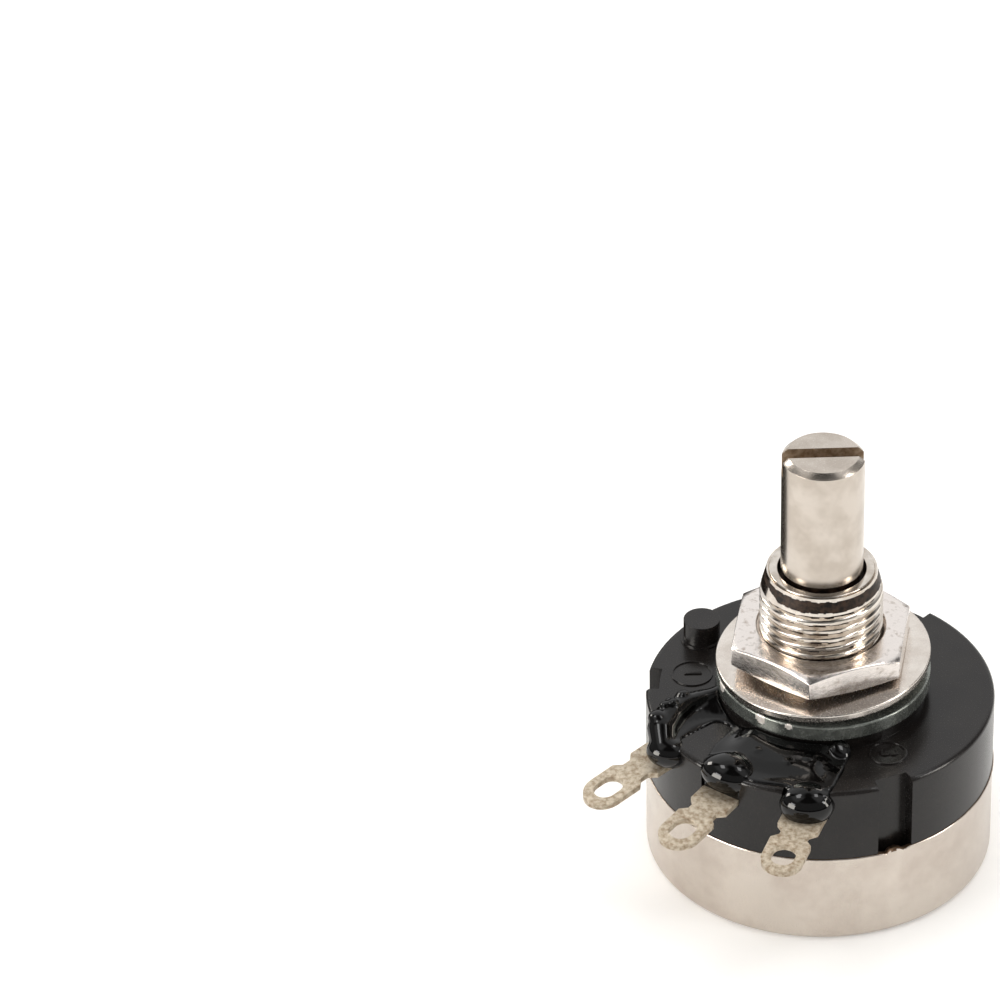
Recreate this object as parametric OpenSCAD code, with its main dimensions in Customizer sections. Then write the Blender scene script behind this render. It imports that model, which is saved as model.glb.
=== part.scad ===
// Panel rotary potentiometer with a moulded cover, a metal rear can and a slotted shaft.
// Millimetres. Origin at the centre of the can's rear face, +Z along the shaft, middle lug towards -Y.
// Angles round the axis start at -Y and turn towards +X.

/* [Rear can] */
// Outer radius of the can at its rim
can_r = 12.87; // [12:0.01:14]
// Height of the can
can_h = 7.45; // [7:0.05:9]
// Thickness of the can's side wall
can_wall = 0.4; // [0.3:0.05:0.5]
// Thickness of the can's floor
can_floor = 0.5; // [0.4:0.05:0.8]
// Draft of the side wall, rim radius less floor radius
can_taper = 0.1; // [0:0.02:0.2]
// Radius of the pressed corner between floor and side
can_corner_r = 0.6; // [0.5:0.05:1]
// Width of each stake punched in from the rim
stake_w = 1.6; // [1:0.1:2.2]
// Height of each stake
stake_h = 0.7; // [0.4:0.05:1]

/* [Moulded cover] */
// How far the cover's side stands in from the can's rim
cover_step = 0.09; // [0.05:0.01:0.3]
// Height of the cover above the can's rim
cover_h = 5.95; // [5.6:0.05:8]
// Radius of the cover's front edge
cover_edge_r = 0.35; // [0.2:0.05:0.6]
// Thickness of the cover's front wall
front_t = 3.2; // [2.8:0.05:3.6]
// Thickness of the cover's side wall where it enters the can
spigot_wall = 1.44; // [1.2:0.02:1.6]
// Length of the spigot that enters the can
spigot_len = 2.85; // [2:0.05:3.2]
// Gap between the spigot and the can
spigot_clear = 0.03; // [0.02:0.01:0.06]
// Radius of the raised boss round the bushing
boss_r = 7.7; // [7.2:0.05:7.75]
// Height of the boss
boss_h = 1; // [0.8:0.05:1.4]
// Number of upright notches in the side
notch_count = 3; // [3:1:3]
// Angle of the first notch
notch_first = 60; // [56:1:64]
// Angle that each notch spans
notch_span = 12; // [9:1:14]
// Depth of each notch
notch_depth = 0.98; // [0.6:0.02:1.1]
// Room in a notch below the stake that enters it
notch_room = 0.5; // [0.3:0.05:0.7]

/* [Locating lug and marks] */
// Diameter of the lug that stops the part turning in its panel
lug_d = 2.7; // [2.2:0.05:3]
// Height of the lug above the cover
lug_h = 1.8; // [1.2:0.05:2.4]
// Distance of the lug's middle from the cover's side
lug_inset = 2.13; // [1.9:0.01:2.4]
// Angle of the lug
lug_angle = -90; // [-95:1:-85]
// Width of the flare at the lug's foot
lug_flare = 0.2; // [0.1:0.05:0.3]
// Outer radius of the moulded ring by lug 1
mark_1_r = 1.55; // [1.2:0.05:1.7]
// Angle of that ring
mark_1_angle = -65; // [-68:0.5:-62]
// Distance of its middle from the cover's side
mark_1_inset = 3.23; // [3.1:0.01:3.3]
// Outer radius of the moulded ring by lug 3
mark_3_r = 1.4; // [1.2:0.05:1.7]
// Angle of that ring
mark_3_angle = 66.5; // [62:0.5:72]
// Distance of its middle from the cover's side
mark_3_inset = 3.53; // [3.1:0.01:3.6]
// Width of a moulded ring
mark_w = 0.16; // [0.1:0.02:0.3]
// Height of a moulded ring
mark_h = 0.1; // [0.05:0.01:0.2]

/* [Solder lugs] */
// Thickness of the lug strip
term_t = 0.45; // [0.35:0.05:0.6]
// Width of the strip
term_w = 3.1; // [2.8:0.05:3.3]
// Width of the strip at its neck
neck_w = 2.05; // [1.9:0.05:2.4]
// Distance from the cover's side to where the neck starts
neck_reach = 1; // [0.6:0.05:1.1]
// Length of the neck with its two slopes
neck_len = 1.7; // [1.5:0.05:1.8]
// Width of the oblong eye
eye_w = 1.75; // [1.3:0.05:1.8]
// Length of the oblong eye
eye_len = 2.3; // [2:0.05:2.4]
// Distance from the cover's side to the middle of the eye
eye_reach = 4.4; // [4.2:0.05:5]
// Distance from the middle of the eye to the tip
tip_reach = 1.95; // [1.8:0.05:2.4]
// How far outside the cover's side the root of a strip lies
root_out = 0.62; // [0.4:0.02:0.8]
// Angle at which the outer strips leave the cover
root_angle = 29; // [28:0.5:31]
// Direction in which the outer strips point
strip_angle = 14; // [12:0.5:16]
// Distance from the side wall's inner face to the middle rivet
rivet_edge = 1.5; // [1.4:0.02:1.56]
// Wall under each strip, between its pocket and the element board
pocket_floor = 0.9; // [0.6:0.05:1.1]
// Gap each side of a strip in its pocket
pocket_clear = 0.1; // [0.05:0.01:0.12]

/* [Rivets] */
// Diameter of a rivet's shank
rivet_d = 1.2; // [1:0.05:1.3]
// Diameter of a rivet's head on the strip
rivet_head_d = 2; // [1.8:0.05:2.2]
// Diameter of a rivet's rolled tail on the board
rivet_tail_d = 1.7; // [1.6:0.05:1.75]
// Thickness of heads and tails
rivet_head_t = 0.3; // [0.2:0.05:0.35]

/* [Sealing resin] */
// Radius of the bead where a strip leaves the cover
bead_r = 1.3; // [1.1:0.05:1.4]
// Length of the bead across the strip, less its round ends
bead_len = 1.3; // [0.8:0.1:1.6]
// Distance from the bead's middle back from the strip's root
bead_inset = 1; // [0.8:0.05:1.2]
// Radius of the ridge that runs inwards along strip 1
ridge_r = 1.2; // [1:0.05:1.3]
// How far that ridge stands above the cover
ridge_rise = 0.6; // [0.3:0.05:0.8]
// Length of the ridge
ridge_len = 2.8; // [2:0.1:3]
// Thickness of the film that ran over the cover
film_t = 0.12; // [0.08:0.01:0.2]

/* [Element] */
// Thickness of the element board
board_t = 1; // [0.8:0.05:1.2]
// Margin of the board inside the collector ring
board_margin = 0.2; // [0.1:0.05:0.25]
// Gap between the board and the cover's side wall
board_clear = 0.1; // [0.05:0.05:0.2]
// Thickness of the carbon track and the collector ring
foil_t = 0.1; // [0.05:0.01:0.12]
// Distance from the board's edge in to the carbon track
track_edge = 2.1; // [2:0.05:2.2]
// Width of the carbon track
track_w = 1.4; // [1.2:0.05:1.4]
// Half angle of the gap between the track's ends
track_gap = 30; // [28:0.5:30]
// Angle that each end pad spans
pad_span = 11; // [10:0.5:12]
// Gap between the carbon track and the collector ring
ring_space = 0.5; // [0.4:0.05:0.6]
// Width of the collector ring
ring_w = 0.9; // [0.7:0.05:1]
// Width of the collector ring's tab under the middle rivet
tab_w = 1.7; // [1.5:0.05:1.9]

/* [Bushing] */
// Outer diameter of the bushing's thread
thread_d = 9; // [8.9:0.01:9.1]
// Pitch of the thread
thread_pitch = 0.75; // [0.5:0.25:0.75]
// Height of the bushing above the boss
bush_h = 9.6; // [9.2:0.05:12]
// Length of the taper that leads a nut onto the thread
lead_len = 1.6; // [1.2:0.05:1.8]
// How far the thread stands in at the end of that taper
lead_in = 0.5; // [0.3:0.05:0.7]
// Diameter of the moulded-in stem
stem_d = 10; // [9.6:0.05:10.4]
// Diameter of the stem's inner end
stem_end_d = 8.4; // [8:0.05:8.6]
// Width of the moulded-in hexagon across its corners
key_d = 13.2; // [12.6:0.05:13.6]
// Thickness of that hexagon
key_t = 1.2; // [0.9:0.05:1.4]
// Height of the hexagon above the bushing's inner end
key_rise = 1.2; // [1:0.05:1.4]
// Radius of the counterbore at the mouth
mouth_r = 3.2; // [3.1:0.05:3.6]
// Depth of the counterbore
mouth_depth = 0.75; // [0.5:0.05:1]

/* [Nut and washers] */
// Width of the washers from hole to edge
washer_w = 3.05; // [2.8:0.05:3.2]
// Gap between the washers and the thread
washer_gap = 0.3; // [0.25:0.05:0.4]
// Thickness of the zinc plated washer that lies on the boss
lower_washer_t = 1.2; // [0.8:0.05:1.3]
// Thickness of the nickel plated washer under the nut
upper_washer_t = 0.6; // [0.5:0.05:0.8]
// Height of the upper washer's middle above the lower washer
washer_lift = 0.6; // [0.55:0.05:0.65]
// Tilt of the upper washer, which lies loose
washer_tilt = 3.6; // [0:0.1:3.8]
// Angle at which the upper washer lies highest
washer_rise_angle = 145; // [0:1:359]
// How far the washers lie off the axis
washer_shift = 0.2; // [0:0.01:0.22]
// Angle towards which they lie off the axis
washer_shift_angle = 127; // [0:1:359]
// Height of the nut above the lower washer
nut_lift = 1.65; // [1.65:0.05:2.1]
// Width of the nut across its flats
nut_af = 12.3; // [11.6:0.05:12.7]
// Thickness of the nut
nut_t = 2.05; // [1.6:0.05:2.4]
// Turn of the nut as it stands on the thread
nut_turn = 28; // [0:0.1:59.9]
// Chamfer of the nut's front corners, along the axis
nut_front_chamfer = 0.45; // [0.2:0.05:0.6]
// Chamfer of the nut's rear corners, along the axis
nut_rear_chamfer = 0.25; // [0.1:0.05:0.4]
// How far the nut's round faces stand in from its flats
nut_face_inset = 0.15; // [0.1:0.05:0.3]
// How far each countersink of the nut opens beyond the thread
nut_sink = 0.25; // [0.1:0.05:0.4]
// Depth of those countersinks
nut_sink_depth = 0.45; // [0.3:0.05:0.6]
// Gap between the nut and the thread it engages
nut_clear = 0.02; // [0.01:0.01:0.04]

/* [Shaft] */
// Diameter of the shaft's knob end
shaft_d = 6; // [5.8:0.01:6.2]
// Height of the shaft above the bushing
shaft_h = 10.3; // [6:0.05:30]
// Chamfer at the shaft's end
shaft_chamfer = 0.4; // [0.2:0.05:0.6]
// Width of the screwdriver slot
slot_w = 1.15; // [0.8:0.05:1.5]
// Depth of the screwdriver slot
slot_depth = 1.6; // [1:0.05:2.2]
// Diameter of the neck at the bushing's mouth
shaft_neck_d = 5.5; // [5.4:0.05:5.6]
// Height of the neck above the bushing
shaft_neck_h = 0.5; // [0.3:0.05:0.8]
// Diameter of the journal inside the bushing
journal_d = 5; // [4.9:0.01:5.1]
// Gap between the journal and the bushing's bore
journal_clear = 0.03; // [0.02:0.01:0.05]
// End play of the shaft
end_play = 0.05; // [0.04:0.01:0.1]
// Width across the two flats that carry the rotor
flats_w = 3.8; // [3.6:0.05:4]
// Turn of the shaft from the middle of its travel, as it stands at rest
rest_turn = 38.5; // [-140:0.5:140]

/* [Rotor] */
// Gap between the rotor disc and the cover's side wall
rotor_clear = 1.7; // [1.3:0.05:2.1]
// Thickness of the rotor disc
rotor_t = 3; // [2.6:0.05:3.2]
// Radius of the rotor's hub
hub_r = 3.4; // [3.2:0.05:3.4]
// Gap between the rotor's hub and the flats of the shaft
hub_clear = 0.02; // [0.01:0.01:0.03]
// Height of the peened end of the shaft
peen_h = 0.6; // [0.4:0.05:0.8]
// Diameter of the peened end
peen_d = 6; // [5.6:0.05:6.4]
// Thickness of the wiper spring
spring_t = 0.25; // [0.2:0.01:0.3]
// Outer radius of the spring's ring
spring_ring_r = 5; // [4.8:0.05:5.1]
// Width of the spring's arms
arm_w = 1.4; // [1:0.05:1.6]
// Rise of the arms from their ring to the brushes
arm_rise = 1.55; // [1.4:0.05:1.6]
// Length of an arm's root on the ring
arm_root = 0.4; // [0.3:0.05:0.6]
// Diameter of the posts that hold the spring
post_d = 0.7; // [0.6:0.05:0.8]
// Height of those posts
post_h = 0.5; // [0.4:0.05:0.6]
// Diameter of a contact brush
brush_d = 0.8; // [0.7:0.05:0.85]
// Height of a contact brush
brush_h = 0.25; // [0.2:0.01:0.3]
// Gap between a brush and the face it runs on
brush_clear = 0.05; // [0.03:0.01:0.08]

/* [Stop and retainer] */
// Thickness of the thrust washer
thrust_t = 0.3; // [0.2:0.05:0.35]
// Outer diameter of the thrust washer
thrust_d = 8.2; // [7.6:0.05:8.4]
// Thickness of the retaining ring
clip_t = 0.5; // [0.4:0.05:0.55]
// Outer diameter of the retaining ring
clip_d = 7.4; // [7:0.05:7.6]
// Diameter of the ring's groove in the shaft
groove_d = 3.8; // [3.6:0.05:4]
// Half angle of the ring's opening
clip_gap = 40; // [36:1:44]
// Thickness of the stop plate
stop_t = 0.6; // [0.5:0.05:0.7]
// Radius of the stop plate's round part
stop_r = 3.7; // [3.5:0.05:3.8]
// Reach of the stop plate's arm
stop_reach = 5.2; // [5:0.05:5.2]
// Half angle of the arm and of the moulded lug that it meets
stop_half = 14; // [12:0.5:14]
// Inner radius of the moulded stop lug
stop_lug_in_r = 4.35; // [4.25:0.05:4.4]
// Outer radius of the moulded stop lug
stop_lug_r = 5.45; // [5.3:0.05:5.5]
// Length of the moulded stop lug
stop_lug_len = 1.7; // [1.65:0.05:1.75]

/* [Hidden] */
$fn = 96;

// Room that a cut passes beyond a face
over = 1;
// Small gap between pieces that are clamped face to face inside
seat_gap = 0.05;
// Drop from a thread's crest to its pitch line, as a share of the pitch
pitch_drop = 0.325;
// Turn that keeps a round face's seam clear of the nut's corners
seam_turn = 17;

// Radii and levels of the cover
cover_r = can_r - cover_step;
spigot_r = can_r - can_wall - can_taper - spigot_clear;
cavity_r = spigot_r - spigot_wall;
spigot_z = can_h - spigot_len;
cover_z = can_h + cover_h;
boss_z = cover_z + boss_h;
ceiling_z = cover_z - front_t;
root_r = cover_r + root_out;
rivet_inset = root_r - cavity_r + rivet_edge;
notch_back_r = cover_r - notch_depth;
notch_z = can_h - stake_h - notch_room;
pocket_z = ceiling_z + pocket_floor;
strip_top_z = pocket_z + term_t;

// Levels of the bushing, the washers and the nut
bush_z = boss_z + bush_h;
thread_r = thread_d / 2;
pitch_r = thread_r - pitch_drop * thread_pitch;
mouth_z = bush_z - mouth_depth;
bore_r = journal_d / 2 + journal_clear;
lower_washer_z = boss_z + lower_washer_t;
nut_z = lower_washer_z + nut_lift;
nut_top_z = nut_z + nut_t;
washer_in_r = thread_r + washer_gap;
key_z = ceiling_z + key_rise;
key_mid_z = key_z + key_t / 2;

// Levels of the element
board_z = ceiling_z - board_t;
foil_z = board_z - foil_t;
tail_z = foil_z - rivet_head_t;
board_out_r = cavity_r - board_clear;
pad_out_r = board_out_r - board_clear;
track_out_r = board_out_r - track_edge;
track_in_r = track_out_r - track_w;
ring_in_r = track_in_r - ring_space - ring_w;
board_in_r = ring_in_r - board_margin;

// Levels of the rotor, from the bushing's inner end downwards
shaft_r = shaft_d / 2;
journal_r = journal_d / 2;
rotor_r = cavity_r - rotor_clear;
shaft_z = bush_z + shaft_h;
neck_top_z = bush_z + shaft_neck_h;
shoulder_z = mouth_z + end_play;
thrust_z = ceiling_z - end_play - thrust_t;
clip_z = thrust_z - seat_gap - clip_t;
groove_z = clip_z - seat_gap;
stop_top_z = groove_z - seat_gap;
stop_z = stop_top_z - stop_t;
brush_top_z = foil_z - brush_clear;
arm_top_z = brush_top_z - brush_h;
rotor_top_z = arm_top_z - spring_t - arm_rise;
rotor_z = rotor_top_z - rotor_t;
track_brush_r = track_in_r + track_w / 2;
ring_brush_r = ring_in_r + ring_w / 2;
post_x = (hub_r + spring_ring_r) / 2;

// The three strips, and on which side of the middle each one lies
strips = [0, 1, 2];
side = [-1, 0, 1];
// Angles of the notches round the cover
notch_angles = [for (i = [0 : notch_count - 1]) notch_first + i * 360 / notch_count];

// Edge of the film of resin, as angles and distances in from the cover's side, with a bare island in it
film_edge = [
    [-52.8, 4.5], [-48.3, 2.9], [-43.6, 1.3], [-33.2, 0.35], [-26.6, 0.7], [-29.5, 2.45], [-31.6, 3.6],
    [-23.5, 3.5], [-18.4, 2.65], [-13.8, 1.05], [-7.9, 0.5], [7.5, 0.5], [13.9, 1.15], [18.8, 2.2],
    [25.4, 2.05], [35.7, 2.7], [43.8, 2.65], [42.9, 1.2], [45.7, 1.05], [49.3, 2.4], [53.3, 3.4], [54.5, 4.7]
];
film_island = [[-9.6, 4.35], [2.6, 3.85], [1.2, 3.2], [-9.9, 3.45]];

// Points at these angles and these distances in from a circle
function inside(r, places) = [for (p = places) (r - p[1]) * [sin(p[0]), -cos(p[0])]];

function arc(x, y, r, from, to, steps = 6) =
    [for (i = [0 : steps]) let (a = from + (to - from) * i / steps) [x + r * cos(a), y + r * sin(a)]];

// Puts its children at an angle round the axis and a distance from it
module at_polar(angle, distance) {
    rotate([0, 0, angle]) translate([0, -distance, 0]) children();
}

// Puts its children at the root of strip i, with -Y along the strip
module at_root(i) {
    at_polar(side[i] * root_angle, root_r) rotate([0, 0, side[i] * (strip_angle - root_angle)]) children();
}

// Turns the rotor's pieces from the middle of their travel to where they rest
module at_rest_turn() {
    rotate([0, 0, rest_turn]) children();
}

// A prism over the sector that reaches half an angle each side of -Y
module sector(half, reach, height) {
    spread = reach * tan(half);
    linear_extrude(height) polygon([[0, 0], [-spread, -reach], [spread, -reach]]);
}

module ring(outer, inner, height) {
    difference() {
        cylinder(r = outer, h = height);
        translate([0, 0, -over]) cylinder(r = inner, h = height + 2 * over);
    }
}

// A rod with round ends, lying along X
module capsule(radius, length) {
    translate([-length / 2, 0, 0]) rotate([0, 90, 0]) cylinder(r = radius, h = length);
    for (end = [-1, 1]) translate([end * length / 2, 0, 0]) sphere(r = radius);
}

// The cover's outside as one turned block, which the resin is trimmed to
module cover_block() {
    rotate_extrude() polygon(concat(
        [[0, can_h], [cover_r, can_h]],
        arc(cover_r - cover_edge_r, cover_z - cover_edge_r, cover_edge_r, 0, 90),
        [[boss_r, cover_z], [boss_r, boss_z], [0, boss_z]]
    ));
}

// The pocket of strip i, open at the front and at the side, with a round end behind the rivet
module pocket(i) {
    width = term_w + 2 * pocket_clear;
    at_root(i) translate([0, 0, pocket_z]) linear_extrude(cover_z - pocket_z + over) {
        translate([0, rivet_inset]) circle(d = width);
        translate([-width / 2, -over]) square([width, rivet_inset + over]);
    }
}

module notch(angle) {
    rotate([0, 0, angle]) intersection() {
        translate([0, 0, notch_z]) ring(cover_r + over, notch_back_r, cover_z - notch_z + over);
        sector(notch_span / 2, cover_r + 2 * over, cover_z + 2 * over);
    }
}

// A short stretch of the can's rim that is punched into the foot of a notch, which holds the cover
module stake(angle) {
    reach = can_r - notch_back_r - can_wall;
    at_polar(angle, notch_back_r + seat_gap) translate([-stake_w / 2, -reach, can_h - stake_h])
        cube([stake_w, reach, stake_h]);
}

module moulded_ring(angle, inset, outer) {
    at_polar(angle, cover_r - inset) translate([0, 0, cover_z - mark_h]) ring(outer, outer - mark_w, 2 * mark_h);
}

module lug() {
    at_polar(lug_angle, cover_r - lug_inset) translate([0, 0, cover_z - over]) {
        cylinder(d = lug_d, h = lug_h + over);
        cylinder(d = lug_d + 2 * lug_flare, h = lug_flare + over);
    }
}

module stop_lug() {
    intersection() {
        translate([0, 0, ceiling_z - stop_lug_len])
            ring(stop_lug_r, stop_lug_in_r, stop_lug_len + key_rise / 2);
        sector(stop_half, stop_lug_r + over, cover_z);
    }
}

// The bushing's moulded-in stem, which the cover is formed round
module bushing_stem() {
    translate([0, 0, ceiling_z]) cylinder(d = stem_end_d, h = key_mid_z - ceiling_z);
    translate([0, 0, key_z]) rotate([0, 0, 30]) cylinder(d = key_d, h = key_t, $fn = 6);
    translate([0, 0, key_mid_z]) cylinder(d = stem_d, h = boss_z - key_mid_z);
}

module housing() {
    color("#2c2927") {
        difference() {
            union() {
                cover_block();
                translate([0, 0, spigot_z]) cylinder(r = spigot_r, h = spigot_len + over);
                lug();
            }
            translate([0, 0, spigot_z - over]) cylinder(r = cavity_r, h = ceiling_z - spigot_z + over);
            for (angle = notch_angles) notch(angle);
            for (i = strips) {
                pocket(i);
                at_root(i) translate([0, rivet_inset, ceiling_z - over])
                    cylinder(d = rivet_d, h = pocket_floor + 2 * over);
            }
            bushing_stem();
        }
        moulded_ring(mark_1_angle, mark_1_inset, mark_1_r);
        moulded_ring(mark_3_angle, mark_3_inset, mark_3_r);
        stop_lug();
    }
}

module rear_can() {
    floor_r = can_r - can_taper;
    color("#d0c8be") {
        rotate_extrude() polygon(concat(
            [[0, 0]],
            arc(floor_r - can_corner_r, can_corner_r, can_corner_r, -90, 0),
            [[can_r, can_h], [can_r - can_wall, can_h], [floor_r - can_wall, can_corner_r],
             [floor_r - can_corner_r, can_floor], [0, can_floor]]
        ));
        for (angle = notch_angles) stake(angle);
    }
}

module bushing() {
    color("#c9c2b8") difference() {
        union() {
            bushing_stem();
            translate([0, 0, key_mid_z]) cylinder(r = thread_r, h = nut_z - key_mid_z);
            translate([0, 0, nut_z]) cylinder(r = pitch_r, h = nut_t);
            translate([0, 0, nut_top_z]) cylinder(r = thread_r, h = bush_z - lead_len - nut_top_z);
            translate([0, 0, bush_z - lead_len]) cylinder(r1 = thread_r, r2 = thread_r - lead_in, h = lead_len);
        }
        translate([0, 0, ceiling_z - over]) cylinder(r = bore_r, h = bush_z - ceiling_z + 2 * over);
        translate([0, 0, mouth_z]) cylinder(r = mouth_r, h = mouth_depth + over);
    }
}

module rivet_hole_set() {
    for (i = strips) at_root(i) translate([0, rivet_inset, board_z - over])
        cylinder(d = rivet_d, h = board_t + 2 * over);
}

module element_board() {
    color("#7a4a28") difference() {
        translate([0, 0, board_z]) ring(board_out_r, board_in_r, board_t);
        rivet_hole_set();
    }
}

module carbon_track() {
    color("#1c1c1e") difference() {
        union() {
            difference() {
                translate([0, 0, foil_z]) ring(track_out_r, track_in_r, foil_t);
                translate([0, 0, foil_z - over]) sector(track_gap, track_out_r + over, foil_t + 2 * over);
            }
            for (end = [-1, 1]) intersection() {
                translate([0, 0, foil_z]) ring(pad_out_r, track_in_r, foil_t);
                rotate([0, 0, end * (track_gap + pad_span / 2)])
                    sector(pad_span / 2, pad_out_r + over, cover_z);
            }
        }
        rivet_hole_set();
    }
}

module collector_ring() {
    color("#c8c4bc") difference() {
        union() {
            translate([0, 0, foil_z]) ring(ring_in_r + ring_w, ring_in_r, foil_t);
            translate([-tab_w / 2, rivet_inset - root_r, foil_z])
                cube([tab_w, root_r - rivet_inset - ring_in_r - ring_w / 2, foil_t]);
            at_polar(0, root_r - rivet_inset) translate([0, 0, foil_z]) cylinder(d = tab_w, h = foil_t);
        }
        rivet_hole_set();
    }
}

// A solder lug: its back in the pocket, the nicked neck, and the head round the eye
module terminal(i) {
    head_r = term_w / 2;
    head_y = -(eye_reach + tip_reach - head_r);
    slope = (term_w - neck_w) / 2;
    neck_y = -neck_reach - slope;
    neck_end_y = -neck_reach - neck_len + slope;
    color("#b9ac90") at_root(i) translate([0, 0, pocket_z]) linear_extrude(term_t) difference() {
        union() {
            translate([0, rivet_inset]) circle(r = head_r);
            polygon([
                [-head_r, rivet_inset], [-head_r, -neck_reach], [-neck_w / 2, neck_y],
                [-neck_w / 2, neck_end_y], [-head_r, neck_end_y - slope], [-head_r, head_y],
                [head_r, head_y], [head_r, neck_end_y - slope], [neck_w / 2, neck_end_y],
                [neck_w / 2, neck_y], [head_r, -neck_reach], [head_r, rivet_inset]
            ]);
            translate([0, head_y]) circle(r = head_r);
        }
        translate([0, rivet_inset]) circle(d = rivet_d);
        for (end = [-1, 1]) translate([0, -eye_reach + end * (eye_len - eye_w) / 2]) circle(d = eye_w);
        translate([-eye_w / 2, -eye_reach - (eye_len - eye_w) / 2]) square([eye_w, eye_len - eye_w]);
    }
}

// The rivet that holds strip i and the board, with its head on the strip and its tail on the track
module rivet(i) {
    color("#b8b09c") at_root(i) translate([0, rivet_inset, 0]) {
        translate([0, 0, tail_z]) cylinder(d = rivet_tail_d, h = rivet_head_t);
        translate([0, 0, foil_z]) cylinder(d = rivet_d, h = strip_top_z - foil_z);
        translate([0, 0, strip_top_z]) cylinder(d = rivet_head_d, h = rivet_head_t);
    }
}

// The resin of strip i that stands proud of the cover
module proud_resin(i) {
    at_root(i) translate([0, bead_inset, pocket_z + bead_r]) capsule(bead_r, bead_len);
    if (side[i] == -1)
        at_root(i) translate([0, bead_inset + ridge_len / 2, cover_z + ridge_rise - ridge_r])
            rotate([0, 0, 90]) capsule(ridge_r, ridge_len);
}

// The resin that fills the pocket of strip i and swells out over the cover's edge
module resin_bead(i) {
    color("#0c0b0b") difference() {
        union() {
            intersection() {
                pocket(i);
                cover_block();
            }
            difference() {
                proud_resin(i);
                cover_block();
            }
        }
        terminal(i);
        rivet(i);
    }
}

module resin_film() {
    color("#121111") difference() {
        translate([0, 0, cover_z]) linear_extrude(film_t) difference() {
            polygon(concat(inside(cover_r, film_edge), inside(boss_r, [for (a = [54 : -26.5 : -52]) [a, over]])));
            circle(r = boss_r);
            polygon(inside(cover_r, film_island));
        }
        for (i = strips) proud_resin(i);
    }
}

// A washer that lies a little off the axis, and rises by the tilt towards its rise angle
module washer(level, thickness, tilt) {
    translate([washer_shift * sin(washer_shift_angle), -washer_shift * cos(washer_shift_angle), level])
        rotate([0, 0, washer_rise_angle]) rotate([-tilt, 0, 0])
            ring(washer_in_r + washer_w, washer_in_r, thickness);
}

module zinc_washer() {
    color("#8f9a94") washer(boss_z, lower_washer_t, 0);
}

module plain_washer() {
    color("#cfc7bc") washer(lower_washer_z + washer_lift, upper_washer_t, washer_tilt);
}

// A hexagon nut, chamfered on both sides and countersunk at both ends of its thread
module hex_nut() {
    corner_r = nut_af / 2 / cos(30);
    face_r = nut_af / 2 - nut_face_inset;
    far_r = corner_r + seat_gap;
    grow = (far_r - face_r) / (corner_r - face_r);
    sink_r = thread_r + nut_sink;
    bore = pitch_r + nut_clear;
    color("#d2c9c0") translate([0, 0, nut_z]) rotate([0, 0, nut_turn - 90]) difference() {
        intersection() {
            cylinder(r = corner_r, h = nut_t, $fn = 6);
            rotate([0, 0, seam_turn]) rotate_extrude() polygon([
                [0, 0], [face_r, 0], [far_r, nut_rear_chamfer * grow],
                [far_r, nut_t - nut_front_chamfer * grow], [face_r, nut_t], [0, nut_t]
            ]);
        }
        rotate([0, 0, seam_turn]) translate([0, 0, -over]) cylinder(r = bore, h = nut_t + 2 * over);
        rotate([0, 0, seam_turn]) cylinder(r1 = sink_r, r2 = bore - seat_gap, h = nut_sink_depth);
        rotate([0, 0, seam_turn]) translate([0, 0, nut_t - nut_sink_depth])
            cylinder(r1 = bore - seat_gap, r2 = sink_r, h = nut_sink_depth);
    }
}

// The shaft's section where two flats carry the stop plate and the rotor
module flats(clearance) {
    intersection() {
        circle(r = journal_r + clearance);
        square([2 * journal_d, flats_w + 2 * clearance], center = true);
    }
}

module shaft() {
    color("#cdc5bb") at_rest_turn() difference() {
        union() {
            translate([0, 0, rotor_z - peen_h]) cylinder(d = peen_d, h = peen_h);
            translate([0, 0, rotor_z]) linear_extrude(groove_z - rotor_z) flats(0);
            translate([0, 0, groove_z]) cylinder(d = groove_d, h = clip_t + 2 * seat_gap);
            translate([0, 0, thrust_z]) cylinder(r = journal_r, h = shoulder_z - thrust_z);
            translate([0, 0, shoulder_z]) cylinder(d = shaft_neck_d, h = neck_top_z - shoulder_z);
            translate([0, 0, neck_top_z]) cylinder(r = shaft_r, h = shaft_z - shaft_chamfer - neck_top_z);
            translate([0, 0, shaft_z - shaft_chamfer])
                cylinder(r1 = shaft_r, r2 = shaft_r - shaft_chamfer, h = shaft_chamfer);
        }
        translate([-shaft_d, -slot_w / 2, shaft_z - slot_depth]) cube([2 * shaft_d, slot_w, slot_depth + over]);
    }
}

module thrust_washer() {
    color("#c9a45c") translate([0, 0, thrust_z]) ring(thrust_d / 2, journal_r + seat_gap, thrust_t);
}

// A C-shaped retaining ring that snaps into the shaft's groove from the side
module retaining_ring() {
    color("#4a4a4c") at_rest_turn() translate([0, 0, clip_z]) difference() {
        ring(clip_d / 2, groove_d / 2 + seat_gap, clip_t);
        translate([0, 0, -over]) sector(clip_gap, clip_d, clip_t + 2 * over);
    }
}

module stop_plate() {
    color("#b7b2aa") at_rest_turn() translate([0, 0, stop_z]) difference() {
        union() {
            cylinder(r = stop_r, h = stop_t);
            rotate([0, 0, 180]) intersection() {
                cylinder(r = stop_reach, h = stop_t);
                sector(stop_half, stop_reach + over, stop_t);
            }
        }
        translate([0, 0, -over]) linear_extrude(stop_t + 2 * over) flats(hub_clear);
    }
}

module rotor_disc() {
    color("#5a3a22") at_rest_turn() {
        difference() {
            union() {
                translate([0, 0, rotor_z]) cylinder(r = rotor_r, h = rotor_t);
                translate([0, 0, rotor_top_z]) cylinder(r = hub_r, h = stop_z - rotor_top_z);
            }
            translate([0, 0, rotor_z - over]) linear_extrude(stop_z - rotor_z + 2 * over) flats(hub_clear);
        }
        for (x = [-1, 1]) translate([x * post_x, 0, rotor_top_z]) cylinder(d = post_d, h = post_h);
    }
}

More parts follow.
